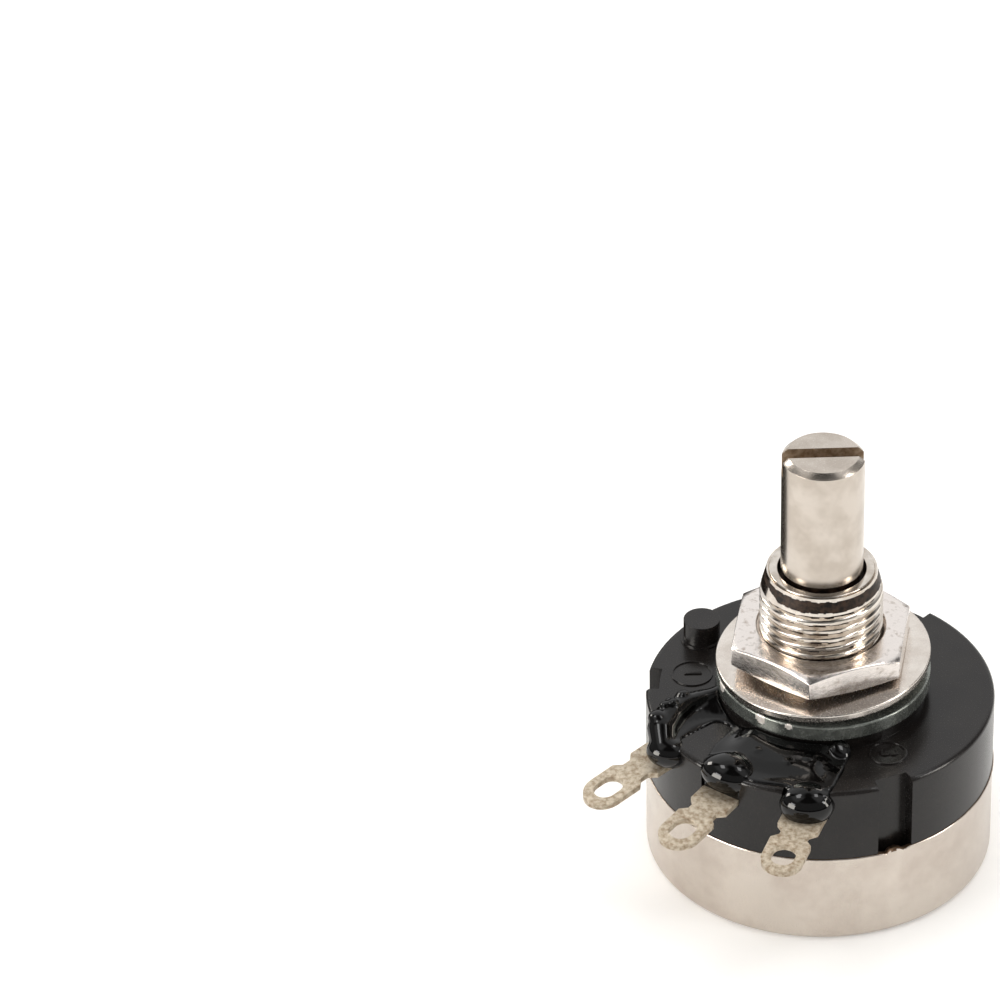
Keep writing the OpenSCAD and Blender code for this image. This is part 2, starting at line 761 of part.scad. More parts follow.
// One arm of the wiper spring, rising from its ring to the seat of a brush
module spring_arm(seat_r) {
    start_r = spring_ring_r - arm_root;
    seat_in = seat_r - brush_d / 2;
    rotate([0, 0, -90]) rotate([90, 0, 0]) linear_extrude(arm_w, center = true) polygon([
        [start_r, rotor_top_z], [spring_ring_r, rotor_top_z], [seat_in, arm_top_z - spring_t],
        [seat_r + brush_d / 2, arm_top_z - spring_t], [seat_r + brush_d / 2, arm_top_z],
        [seat_in - 2 * seat_gap, arm_top_z], [spring_ring_r - 2 * seat_gap, rotor_top_z + spring_t],
        [start_r, rotor_top_z + spring_t]
    ]);
}

module wiper_spring() {
    color("#b98a4a") at_rest_turn() difference() {
        union() {
            translate([0, 0, rotor_top_z]) ring(spring_ring_r, hub_r + seat_gap, spring_t);
            rotate([0, 0, 180]) spring_arm(track_brush_r);
            spring_arm(ring_brush_r);
        }
        for (x = [-1, 1]) translate([x * post_x, 0, rotor_top_z - over])
            cylinder(d = post_d + 2 * hub_clear, h = post_h + 2 * over);
    }
}

module brush(angle, distance) {
    at_rest_turn() at_polar(angle, distance) translate([0, 0, arm_top_z]) cylinder(d = brush_d, h = brush_h);
}

module track_brush() {
    color("#2a2a2c") brush(180, track_brush_r);
}

module ring_brush() {
    color("#2a2a2c") brush(0, ring_brush_r);
}

housing();
rear_can();
bushing();
element_board();
carbon_track();
collector_ring();
terminal(0);  // terminal_1
terminal(1);  // terminal_2
terminal(2);  // terminal_3
rivet(0);  // rivet_1
rivet(1);  // rivet_2
rivet(2);  // rivet_3
resin_bead(0);  // resin_bead_1
resin_bead(1);  // resin_bead_2
resin_bead(2);  // resin_bead_3
resin_film();
zinc_washer();
plain_washer();
hex_nut();
shaft();
thrust_washer();
retaining_ring();
stop_plate();
rotor_disc();
wiper_spring();
track_brush();
ring_brush();
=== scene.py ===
# A panel rotary potentiometer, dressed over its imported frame.
# Sizes are in millimetres in the part's own frame, with +Z along the shaft. They become
# metres where a mesh is made.
import math
import bmesh
import bpy
from mathutils import Matrix, Vector, kdtree, noise


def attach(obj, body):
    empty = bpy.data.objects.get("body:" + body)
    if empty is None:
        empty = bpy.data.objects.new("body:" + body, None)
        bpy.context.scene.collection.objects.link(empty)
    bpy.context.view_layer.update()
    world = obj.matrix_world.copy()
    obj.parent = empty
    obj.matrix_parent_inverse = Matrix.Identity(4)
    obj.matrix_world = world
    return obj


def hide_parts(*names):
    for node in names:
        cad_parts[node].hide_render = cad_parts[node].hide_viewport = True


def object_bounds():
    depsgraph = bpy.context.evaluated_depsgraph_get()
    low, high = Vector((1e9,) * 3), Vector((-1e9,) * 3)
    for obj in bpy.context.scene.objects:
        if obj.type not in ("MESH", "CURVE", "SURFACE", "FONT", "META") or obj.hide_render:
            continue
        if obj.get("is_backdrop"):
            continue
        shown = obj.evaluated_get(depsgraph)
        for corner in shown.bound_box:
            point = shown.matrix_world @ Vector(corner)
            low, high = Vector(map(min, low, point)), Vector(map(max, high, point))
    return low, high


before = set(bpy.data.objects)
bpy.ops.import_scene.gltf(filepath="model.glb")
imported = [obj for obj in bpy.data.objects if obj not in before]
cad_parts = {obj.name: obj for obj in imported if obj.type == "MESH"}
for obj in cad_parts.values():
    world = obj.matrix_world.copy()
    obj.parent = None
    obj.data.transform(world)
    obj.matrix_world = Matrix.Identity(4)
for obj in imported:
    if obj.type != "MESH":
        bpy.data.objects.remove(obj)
cad_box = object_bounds()


# Camera
# It stands half a metre off behind a long lens, above the lugs and to their right,
# and is aimed so that the part lies low and right in the picture.
camera_place = Vector((0.2114, -0.3125, 0.2924))
camera_heading = 37.6
camera_pitch = 34.79
camera_roll = -1.185
camera_data = bpy.data.cameras.new("camera")
camera_data.lens = 230
camera_data.sensor_width = 36
camera_data.clip_start = 0.01
camera_data.clip_end = 5
camera = bpy.data.objects.new("camera", camera_data)
camera.matrix_world = (
    Matrix.Translation(camera_place)
    @ Matrix.Rotation(math.radians(camera_heading), 4, "Z")
    @ Matrix.Rotation(math.radians(90 - camera_pitch), 4, "X")
    @ Matrix.Rotation(math.radians(camera_roll), 4, "Z")
)
bpy.context.scene.collection.objects.link(camera)
bpy.context.scene.camera = camera
bpy.context.scene.view_settings.view_transform = "Standard"


# Floor, sky and lamps
# A white table in a light tent, lit by soft boxes at both sides. The tent's lining is
# white behind the part and dark in front, and shows in reflections only.
def linear(code):
    """An sRGB hex colour such as "#d0c8be" as linear red, green, blue and alpha."""
    parts = [int(code[i:i + 2], 16) / 255 for i in (1, 3, 5)]
    return tuple(c / 12.92 if c <= 0.04045 else ((c + 0.055) / 1.055) ** 2.4 for c in parts) + (1.0,)


def add(tree, kind, settings=None, inputs=None):
    """Adds a node with its settings. An input is a value, or the socket that feeds it."""
    node = tree.nodes.new(kind)
    for name, value in (settings or {}).items():
        setattr(node, name, value)
    for name, value in (inputs or {}).items():
        if isinstance(value, bpy.types.NodeSocket):
            tree.links.new(value, node.inputs[name])
        else:
            node.inputs[name].default_value = value
    return node


def empty_material(name):
    """A material with no nodes yet, and its tree."""
    material = bpy.data.materials.new(name)
    material.use_nodes = True
    material.node_tree.nodes.clear()
    return material, material.node_tree


floor_size = 1.6
floor_white = "#f4f3f1"
floor_lift = 0.2
below_part = -0.00002
bpy.ops.mesh.primitive_plane_add(size=floor_size, location=(0, 0, below_part))
floor = bpy.context.object
floor.name = "floor"
floor_material, tree = empty_material("white table")


def white_rays(tree):
    """One where a ray comes from the camera, a gloss or a clear body, and nought for soft light."""
    rays = add(tree, "ShaderNodeLightPath")
    camera_or_gloss = add(tree, "ShaderNodeMath", {"operation": "MAXIMUM"},
                          {0: rays.outputs["Is Camera Ray"], 1: rays.outputs["Is Glossy Ray"]})
    any_of_them = add(tree, "ShaderNodeMath", {"operation": "MAXIMUM"},
                      {0: camera_or_gloss.outputs[0], 1: rays.outputs["Is Transmission Ray"]})
    return any_of_them.outputs[0]


lift = add(tree, "ShaderNodeMath", {"operation": "MULTIPLY"}, {0: white_rays(tree), 1: floor_lift})
glow = add(tree, "ShaderNodeEmission", inputs={"Strength": lift.outputs[0]})
paper = add(tree, "ShaderNodeBsdfDiffuse", inputs={"Color": linear(floor_white)})
both = add(tree, "ShaderNodeAddShader", inputs={0: paper.outputs[0], 1: glow.outputs[0]})
add(tree, "ShaderNodeOutputMaterial", inputs={"Surface": both.outputs[0]})
floor.data.materials.append(floor_material)
floor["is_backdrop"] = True

sky_low = "#a5a3a0"
sky_high = "#d9d7d4"
world = bpy.data.worlds.new("light tent")
bpy.context.scene.world = world
world.use_nodes = True
tree = world.node_tree
tree.nodes.clear()
direction = add(tree, "ShaderNodeTexCoord")
height = add(tree, "ShaderNodeSeparateXYZ", inputs={0: direction.outputs["Generated"]})
sky = add(tree, "ShaderNodeMix", {"data_type": "RGBA"},
          {0: height.outputs["Z"], 6: linear(sky_low), 7: linear(sky_high)})
seen = add(tree, "ShaderNodeMix", {"data_type": "RGBA"},
           {0: white_rays(tree), 6: sky.outputs[2], 7: (1, 1, 1, 1)})
tent = add(tree, "ShaderNodeBackground", inputs={"Color": seen.outputs[2], "Strength": 1.0})
add(tree, "ShaderNodeOutputWorld", inputs={"Surface": tent.outputs[0]})


middle_z = 0.018


def about(azimuth, elevation, distance):
    """A place about the part. The azimuth is nought towards the camera and grows to its right."""
    turn = math.radians(camera_heading - 90 + azimuth)
    rise = math.radians(elevation)
    flat = distance * math.cos(rise)
    return Vector((flat * math.cos(turn), flat * math.sin(turn), distance * math.sin(rise) + middle_z))


def facing_part(holder, place):
    """Puts a lamp or a card at a place and turns it to the part."""
    holder.location = place
    holder.rotation_euler = (Vector((0, 0, middle_z)) - place).to_track_quat("-Z", "Y").to_euler()
    bpy.context.scene.collection.objects.link(holder)


def soft_box(name, place, width, height, radiance):
    """A flat lamp of even brightness."""
    data = bpy.data.lights.new(name, "AREA")
    data.shape = "RECTANGLE"
    data.size = width
    data.size_y = height
    data.energy = radiance * math.pi * width * height
    facing_part(bpy.data.objects.new(name, data), place)


# Name, azimuth, elevation, width, height, radiance
soft_boxes = [
    ("overhead left", -98, 65, 0.14, 0.1, 5.5),
    ("overhead right", 98, 65, 0.14, 0.1, 5.0),
    ("left front", -62, 21, 0.15, 0.12, 8.5),
    ("right", 70, 30, 0.08, 0.12, 9.5),
    ("left behind", -126, 24, 0.06, 0.06, 13.0),
]
lamp_distance = 0.5
for name, azimuth, elevation, width, height, radiance in soft_boxes:
    soft_box(name, about(azimuth, elevation, lamp_distance), width, height, radiance)
roof_size, roof_energy, roof_distance = 0.5, 1.8, 0.75
roof_data = bpy.data.lights.new("roof", "AREA")
roof_data.size = roof_size
roof_data.energy = roof_energy
roof = bpy.data.objects.new("roof", roof_data)
roof.visible_glossy = False
facing_part(roof, about(180, 78, roof_distance))


def seen_by_gloss_only(sheet):
    """Hides a part of the tent from all but gloss, so that it casts no shadow and takes no light."""
    sheet.visible_camera = False
    sheet.visible_diffuse = False
    sheet.visible_shadow = False
    sheet.visible_transmission = False
    sheet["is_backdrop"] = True


def card(name, place, width, height, tone, strength=1.0):
    """A flat card of even tone, turned to the part. With a strength above 1 it is a bright window."""
    mesh = bpy.data.meshes.new(name)
    corners = [(x * width / 2, y * height / 2, 0) for x, y in ((-1, -1), (1, -1), (1, 1), (-1, 1))]
    mesh.from_pydata(corners, [], [(0, 1, 2, 3)])
    sheet = bpy.data.objects.new(name, mesh)
    facing_part(sheet, place)
    material, tree = empty_material(name)
    flat = add(tree, "ShaderNodeEmission", inputs={"Color": linear(tone), "Strength": strength})
    add(tree, "ShaderNodeOutputMaterial", inputs={"Surface": flat.outputs[0]})
    mesh.materials.append(material)
    seen_by_gloss_only(sheet)


def step(value, low, high):
    """Nought below low, one above high, and a soft step between."""
    share = max(0.0, min(1.0, (value - low) / (high - low)))
    return share * share * (3 - 2 * share)


def lining_tone(azimuth, elevation):
    """How bright the tent is in this direction.

    It is white behind and high at both sides, dark in front, overhead and low down, and has a
    dark gap behind each side. Each soft edge runs between two angles in degrees.
    """
    side = abs(azimuth)
    behind = step(side, 116, 134) * (1 - step(elevation, 52, 62))
    flank = 0.8 * step(side, 34, 58) * step(elevation, 30, 48) * (1 - step(elevation, 70, 84))
    gap = (1 - step(abs(side - 117), 6, 12)) * step(elevation, 34, 42) * (1 - step(elevation, 52, 60))
    front = 0.05 + 0.25 * (1 - step(elevation, 42, 50))
    return max(front, behind, flank) * (1 - 0.94 * gap) * (0.15 + 0.85 * step(elevation, 2, 9))


lining = bpy.data.objects.new("tent lining", bpy.data.meshes.new("tent lining"))
lining_r, lining_step = 0.62, 3
directions = [(a, e) for e in range(-3, 91, lining_step) for a in range(-180, 180, lining_step)]
around = 360 // lining_step
patches = []
for k in range(len(directions) - around):
    beside = k - k % around + (k + 1) % around
    patches.append((k, beside, beside + around, k + around))
lining.data.from_pydata([about(a, e, lining_r) for a, e in directions], [], patches)
tones = lining.data.color_attributes.new("tone", "FLOAT_COLOR", "POINT")
for k, (a, e) in enumerate(directions):
    tone = lining_tone(a, e)
    tones.data[k].color = (tone, tone, tone, 1)
material, tree = empty_material("tent lining")
cloth = add(tree, "ShaderNodeAttribute", {"attribute_name": "tone"})
flat = add(tree, "ShaderNodeEmission", inputs={"Color": cloth.outputs["Color"]})
add(tree, "ShaderNodeOutputMaterial", inputs={"Surface": flat.outputs[0]})
lining.data.materials.append(material)
bpy.context.scene.collection.objects.link(lining)
seen_by_gloss_only(lining)
card("left stripe card", about(-150, -26, 0.036), 0.045, 0.034, "#241f1c")
window_white, window_distance = "#fffaf2", 0.49
card("left window", about(-62, 10, window_distance), 0.24, 0.19, window_white, 13.0)
card("right window", about(75, 16, window_distance), 0.09, 0.24, window_white, 12.0)
card("left back window", about(-126, 26, window_distance), 0.12, 0.12, window_white, 13.0)


# Rear can
# Drawn sheet steel with bright nickel plate. The rim is punched into the three
# notches of the cover, which holds the two together.
MM = 0.001
can_rim_r, can_height, can_wall, can_taper, can_floor = 12.87, 7.45, 0.4, 0.1, 0.5
rim_band, rim_rows = 1.0, 7
# The three punched places and their half width, and the dips beside them, are in degrees
punch_angles, punch_half, dip_off = (60, 180, -60), 2.6, 3.2
punch_depth, dip_depth = 0.34, 0.1


def rounded(corners, steps=5):
    """Points of a closed profile. Each corner is (radius, height, fillet), and fillets become arcs."""
    points = []
    for i, (x, y, fillet) in enumerate(corners):
        here = Vector((x, y))
        before = Vector(corners[i - 1][:2]) - here
        after = Vector(corners[(i + 1) % len(corners)][:2]) - here
        if fillet == 0:
            points.append(here)
            continue
        half = before.angle(after) / 2
        reach = min(fillet / math.tan(half), 0.49 * before.length, 0.49 * after.length)
        radius = reach * math.tan(half)
        inward = (before.normalized() + after.normalized()).normalized()
        middle = here + inward * (radius / math.sin(half))
        start = here + before.normalized() * reach - middle
        turn = start.angle_signed(here + after.normalized() * reach - middle)
        for k in range(steps + 1):
            points.append(middle + Matrix.Rotation(-turn * k / steps, 2) @ start)
    return points


def new_piece(name, mesh, *materials):
    """Puts a mesh in the scene as a smooth shaded piece at the origin."""
    for face in mesh.polygons:
        face.use_smooth = True
    for material in materials:
        mesh.materials.append(material)
    piece = bpy.data.objects.new(name, mesh)
    bpy.context.scene.collection.objects.link(piece)
    return piece


def turned(name, profile, steps=288, shape=None):
    """The mesh of a closed profile of (radius, height) turned round Z. shape may move each point."""
    work = bmesh.new()
    rings = []
    for radius, level in profile:
        ring = []
        for k in range(steps if radius > 1e-6 else 1):
            angle = 2 * math.pi * k / steps
            place = Vector((radius * math.sin(angle), -radius * math.cos(angle), level))
            ring.append(work.verts.new((shape(place) if shape else place) * MM))
        rings.append(ring)
    for lower, upper in zip(rings, rings[1:] + rings[:1]):
        if len(lower) == 1 and len(upper) == 1:
            continue
        for k in range(steps):
            corners = [lower[k % len(lower)], lower[(k + 1) % len(lower)],
                       upper[(k + 1) % len(upper)], upper[k % len(upper)]]
            work.faces.new(list(dict.fromkeys(corners)))
    bmesh.ops.recalc_face_normals(work, faces=work.faces)
    mesh = bpy.data.meshes.new(name)
    work.to_mesh(mesh)
    work.free()
    return mesh


def sharp_edges(piece, degrees=30):
    """Keeps edges sharper than this crisp, while the rest shade smooth."""
    piece.data.set_sharp_from_angle(angle=math.radians(degrees))


def stands_for(piece, body, slot, *nodes):
    """Makes the piece take the place of these nodes and ride on their body."""
    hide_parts(*nodes)
    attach(piece, body)


def polar(degrees, radius, level=0.0):
    """A point at an angle from -Y towards +X, in millimetres."""
    turn = math.radians(degrees)
    return Vector((radius * math.sin(turn), -radius * math.cos(turn), level))


def finish(name, pale, dark, metallic, roughness, cloud_mm, grain_mm, grain_way=(1, 1, 1), relief=0.12,
           share=(0.38, 0.6), gloss_level=0.5):
    """A surface of two colours in soft clouds, whose fine grain varies its gloss and its relief.

    grain_way above 1 packs the grain closer along that axis, which draws it out across the others.
    Tool marks of a few hundredths would not show, so they are drawn at 0.05 mm or more.
    """
    material, tree = empty_material(name)
    place = add(tree, "ShaderNodeTexCoord").outputs["Object"]
    cloud = add(tree, "ShaderNodeTexNoise",
                inputs={"Vector": place, "Scale": 1 / (cloud_mm * MM), "Detail": 5.0, "Roughness": 0.6})
    shade = add(tree, "ShaderNodeValToRGB", inputs={0: cloud.outputs[0]})
    for end, spot, colour in zip(shade.color_ramp.elements, share, (dark, pale)):
        end.position = spot
        end.color = linear(colour)
    drawn = add(tree, "ShaderNodeMapping", inputs={"Vector": place, "Scale": grain_way})
    marks = add(tree, "ShaderNodeTexNoise",
                inputs={"Vector": drawn.outputs[0], "Scale": 1 / (grain_mm * MM), "Detail": 3.0})
    gloss = add(tree, "ShaderNodeMapRange", inputs={
        "Value": marks.outputs[0], "From Min": 0.3, "From Max": 0.7,
        "To Min": 0.85 * roughness, "To Max": 1.3 * roughness})
    bumps = add(tree, "ShaderNodeBump", inputs={
        "Height": marks.outputs[0], "Strength": relief, "Distance": 0.03 * grain_mm * MM})
    skin = add(tree, "ShaderNodeBsdfPrincipled", inputs={
        "Base Color": shade.outputs[0], "Metallic": metallic, "Roughness": gloss.outputs[0],
        "Normal": bumps.outputs[0], "Specular IOR Level": gloss_level})
    add(tree, "ShaderNodeOutputMaterial", inputs={"Surface": skin.outputs[0]})
    return material


def can_shape(place):
    """The rim wanders by a hair, and is punched in and drawn down at each notch."""
    angle = math.degrees(math.atan2(place.x, -place.y))
    low = can_height - rim_band
    if place.z < low:
        return place
    share = (place.z - low) / (can_height - low)
    rise = 0.03 * share * noise.noise(Vector((place.x, place.y, 3.0)) * 0.9)
    push = 0.0
    for middle in punch_angles:
        off = (angle - middle + 180) % 360 - 180
        push += punch_depth * share * math.exp(-(off / punch_half) ** 4)
        rise -= dip_depth * share * math.exp(-(abs(off) - dip_off) ** 2)
    flat = Vector((place.x, place.y, 0)).normalized()
    return place - flat * push + Vector((0, 0, rise))


can_profile = rounded([
    (0, 0, 0), (can_rim_r - can_taper, 0, 0.6), (can_rim_r, can_height, 0.12),
    (can_rim_r - can_wall, can_height, 0.1), (can_rim_r - can_taper - can_wall, can_floor + 0.1, 0.3),
    (12.1, can_floor, 0), (0, can_floor, 0),
])
wall_rows = []
for k in range(rim_rows - 1):
    down = 1 - k / rim_rows
    wall_rows.append(Vector((can_rim_r - can_taper * down, can_height - rim_band * down)))
rim = next(i for i, point in enumerate(can_profile) if point.y > can_height - rim_band / 2)
can_profile[rim:rim] = wall_rows
# Nickel plate on drawn sheet: fine upright drawing marks give the wall a satin sheen
can_nickel = finish("nickel on drawn steel", "#cfc6bc", "#c1b6ac", 1, 0.26, cloud_mm=4.5,
                    grain_mm=0.12, grain_way=(8, 8, 1))
can = new_piece("can_shell", turned("can_shell", can_profile, 360, can_shape), can_nickel)


def painted(piece, material, chosen):
    """Gives another finish to the faces whose middle, in millimetres, is chosen."""
    piece.data.materials.append(material)
    for face in piece.data.polygons:
        if chosen(face.center / MM):
            face.material_index = len(piece.data.materials) - 1


# Painted shade: the rim's top face, in the seam under the cover's edge, is coloured dull dark brown
rim_seam_shade = finish("painted shade on the can's rim", "#75604f", "#453528", 1, 0.5, cloud_mm=0.5,
                   grain_mm=0.1, relief=0.3)
painted(can, rim_seam_shade,
        lambda spot: spot.z > can_height - 0.2 and math.hypot(spot.x, spot.y) < can_rim_r - 0.05)
sharp_edges(can)
stands_for(can, "case", "nickel_plate", "rear_can")


# Cover
# Black phenolic, compression moulded in one piece, satin and finely grained from its
# mould, with its edges broken by a hair.
def copy_of_node(name, node):
    """A CAD node's mesh as one merged copy, with its flat faces joined again."""
    work = bmesh.new()
    work.from_mesh(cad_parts[node].data)
    bmesh.ops.remove_doubles(work, verts=work.verts, dist=1e-7)
    bmesh.ops.dissolve_limit(work, angle_limit=math.radians(0.6), verts=work.verts, edges=work.edges)
    mesh = bpy.data.meshes.new(name)
    work.to_mesh(mesh)
    work.free()
    return mesh


def apply_modifiers(piece):
    """Makes the piece's modifiers part of its mesh."""
    ready = piece.evaluated_get(bpy.context.evaluated_depsgraph_get())
    mesh = bpy.data.meshes.new_from_object(ready)
    piece.modifiers.clear()
    piece.data = mesh


def broken_edges(piece, width, degrees=35, segments=2):
    """Rounds a piece's sharp edges by this width."""
    bevel = piece.modifiers.new("broken edges", "BEVEL")
    bevel.width = width * MM
    bevel.segments = segments
    bevel.limit_method = "ANGLE"
    bevel.angle_limit = math.radians(degrees)
    piece.modifiers.new("even shading", "WEIGHTED_NORMAL").keep_sharp = True
    apply_modifiers(piece)


# Phenolic pressed in a polished mould: near black, with a soft shine and broad pale lights
phenolic = finish("moulded phenolic", "#1c1917", "#151211", 0, 0.22, cloud_mm=3.0, grain_mm=0.1,
                  relief=0.12, gloss_level=0.36)
cover = new_piece("cover_moulding", copy_of_node("cover_moulding", "housing"), phenolic)
broken_edges(cover, 0.08)
stands_for(cover, "case", "phenolic", "housing")

# Raised digits inside the two moulded rings, which say where the track starts and ends.
cover_z, digit_size, digit_rise, digit_sunk, digit_turn = 13.4, 1.9, 0.12, 0.02, -52


def raised_digit(name, digit, angle, radius):
    """A digit that stands up from the cover's face by a hair."""
    bpy.ops.object.text_add()
    words = bpy.context.object
    words.data.body = digit
    words.data.size = digit_size * MM
    words.data.extrude = digit_rise / 2 * MM
    words.data.align_x = "CENTER"
    words.data.align_y = "CENTER"
    mesh = bpy.data.meshes.new_from_object(words.evaluated_get(bpy.context.evaluated_depsgraph_get()))
    bpy.data.objects.remove(words)
    middle = polar(angle, radius, cover_z + digit_rise / 2 - digit_sunk)
    mesh.transform(Matrix.Translation(middle * MM) @ Matrix.Rotation(math.radians(digit_turn), 4, "Z"))
    work = bmesh.new()
    work.from_mesh(mesh)
    bmesh.ops.remove_doubles(work, verts=work.verts, dist=1e-3 * MM)
    bmesh.ops.recalc_face_normals(work, faces=work.faces)
    work.to_mesh(mesh)
    work.free()
    piece = new_piece(name, mesh, phenolic)
    broken_edges(piece, 0.04)
    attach(piece, "case")


raised_digit("digit_1", "1", -65, 9.55)
raised_digit("digit_3", "3", 66.5, 9.25)


# Element board and its foils
# A ring of brown phenolic paper carries the carbon track and the silvered collector
# ring. It is riveted under the cover with the three strips, and the can hides it.
def dress(material, *nodes):
    """Gives CAD nodes that keep their own shape a finish."""
    for node in nodes:
        for place_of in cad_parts[node].material_slots:
            place_of.material = material


# Phenolic paper shows its fibres as brown streaks, carbon film is dull and black, and
# silvered brass has a warm, even shine
board_brown = finish("phenolic paper board", "#8a5a34", "#6b4325", 0, 0.55, cloud_mm=2.0,
                     grain_mm=0.15, grain_way=(1, 6, 1), relief=0.2)
carbon_black = finish("carbon film", "#232325", "#161617", 0, 0.6, cloud_mm=1.5, grain_mm=0.05,
                      relief=0.15)
bright_silver = finish("silvered brass", "#cdbf9f", "#9c8a66", 1, 0.3, cloud_mm=1.6, grain_mm=0.08,
                       relief=0.1)
dress(board_brown, "element_board")
dress(carbon_black, "carbon_track")
dress(bright_silver, "collector_ring", "rivet_1", "rivet_2", "rivet_3")


# Solder lugs
# Three strips stamped from silvered brass, tarnished to mottled beige, with a waist
# and an oblong eye. Each is held by its rivet and sealed in its pocket with resin.
root_r, root_angle, strip_angle, tip_reach, eye_reach = 13.4, 29.0, 14.0, 6.35, 4.4
bend_start, cuts, cut_gap = -0.6, 24, 0.3
# Silver on stamped brass tarnishes in spots: mottled beige with little shine left
lug_silver = finish("tarnished silver on brass", "#cbbfab", "#8a7459", 0.28, 0.4, cloud_mm=0.36,
                    grain_mm=0.12, relief=0.3, share=(0.3, 0.62))


def bent(reach, at_eye, at_tip):
    """How far a strip has moved at this reach, by a curve through its offsets at the eye and the tip."""
    here, eye, tip = (max(0.0, r - bend_start) for r in (reach, eye_reach, tip_reach))
    curve = (at_tip / tip - at_eye / eye) / (tip - eye)
    return here * (at_eye / eye + curve * (here - eye))


def solder_lug(side, rise_at_eye, rise_at_tip, aside_at_eye, aside_at_tip):
    """A strip of the CAD's outline with its edges broken, bent as handling has left it."""
    number = side + 2
    root = polar(side * root_angle, root_r)
    along = polar(side * strip_angle, 1)
    across = Vector((-along.y, along.x, 0))
    mesh = copy_of_node(f"strip_{number}", f"terminal_{number}")
    strip = new_piece(f"solder_lug_{number}", mesh, lug_silver)
    work = bmesh.new()
    work.from_mesh(strip.data)
    for k in range(cuts):
        cut = (root + along * (cut_gap * k + bend_start)) * MM
        everything = work.verts[:] + work.edges[:] + work.faces[:]
        bmesh.ops.bisect_plane(work, geom=everything, dist=1e-8, plane_co=cut, plane_no=along)
    for vert in work.verts:
        reach = (vert.co / MM - root).dot(along)
        vert.co += (Vector((0, 0, bent(reach, rise_at_eye, rise_at_tip)))
                    + across * bent(reach, aside_at_eye, aside_at_tip)) * MM
    work.to_mesh(strip.data)
    work.free()
    broken_edges(strip, 0.07)
    stands_for(strip, "case", "silver_brass", f"terminal_{number}")


solder_lug(-1, -0.72, -1.05, 0, 0)
solder_lug(0, 0.2, 0.05, 0.38, 0.34)
solder_lug(1, 0, 0, 0.28, 0.41)


# Sealing resin
# Black resin run in by hand over the three pockets, where it swells into beads over
# the lugs and spreads as a wet film up to the boss.
cover_r, boss_r, pocket_z, rivet_r, well_mouth, well_half = 12.78, 7.7, 11.1, 9.4, 0.85, 1.62
# Angle from the middle lug, and how far in from the cover's rim
film_edge = [
    (-51.2, 3.8), (-44.6, 1.53), (-37.3, 0.32), (-30, 0.25), (-22, 0.3), (-20.5, 0.6), (-23.4, 0.95),
    (-26.2, 2.36), (-25.6, 3.9), (-22, 4.5), (-17, 4.5), (-14.5, 3.6), (-12.6, 2.4), (-9.6, 1.2),
    (-8, 0.4), (0, 0.3), (10.2, 0.3), (15.9, 0.38), (21.6, 0.5), (30, 0.3), (38, 0.5), (40.6, 1.3),
    (43.4, 2.6), (48.2, 3.9),
]
film_top, film_sunk = 0.16, 0.1
swell_r, swell, shore_low, shore_high, wave, wave_mm = 12.3, 0.17, 0.2, 2.2, 0.05, 2.2
resin_voxel = 0.1


def extruded(work, outline, low, high):
    """Adds a closed wall of this outline between two levels, in millimetres."""
    rings = [[work.verts.new(Vector((p.x, p.y, level)) * MM) for p in outline] for level in (low, high)]
    for k in range(len(outline)):
        after = (k + 1) % len(outline)
        work.faces.new((rings[0][k], rings[0][after], rings[1][after], rings[1][k]))
    for ring in rings:
        bmesh.ops.triangle_fill(work, use_beauty=True, edges=[
            work.edges.get((ring[k - 1], ring[k])) for k in range(len(ring))])


def drop(work, place, size, turn=0.0):
    """Adds one swelling of resin, an ellipsoid with these half widths across, along and up."""
    put = Matrix.Translation(Vector(place) * MM) @ Matrix.Rotation(math.radians(turn), 4, "Z")
    widths = Matrix.Diagonal((*(Vector(size) * MM), 1))
    bmesh.ops.create_icosphere(work, subdivisions=4, radius=1, matrix=put @ widths)


work = bmesh.new()
marks = [polar(a, cover_r - inset) for a, inset in film_edge]
outline = []
for k in range(len(marks) - 1):
    p0, p1, p2, p3 = marks[max(k - 1, 0)], marks[k], marks[k + 1], marks[min(k + 2, len(marks) - 1)]
    for t in (0, 0.25, 0.5, 0.75):
        bend = 2 * p0 - 5 * p1 + 4 * p2 - p3 + t * (3 * (p1 - p2) + p3 - p0)
        outline.append(p1 + 0.5 * t * (p2 - p0 + t * bend))
film_rim = outline + [marks[-1]]
outline = film_rim + [polar(51.5 - 3.45 * k, boss_r - 0.05) for k in range(31)]
extruded(work, outline, cover_z - film_sunk, cover_z + film_top)
for side in (-1, 0, 1):
    root, along = polar(side * root_angle, root_r), polar(side * strip_angle, 1)
    across = Vector((-along.y, along.x, 0))
    mouth = root - along * well_mouth
    round_end = root - along * (root_r - rivet_r)
    well = [mouth + across * well_half, mouth - across * well_half]
    well += [round_end - across * (well_half * math.cos(t)) - along * (well_half * math.sin(t))
             for t in [math.pi * k / 12 for k in range(13)]]
    extruded(work, well, pocket_z + 0.03, cover_z + 0.05)
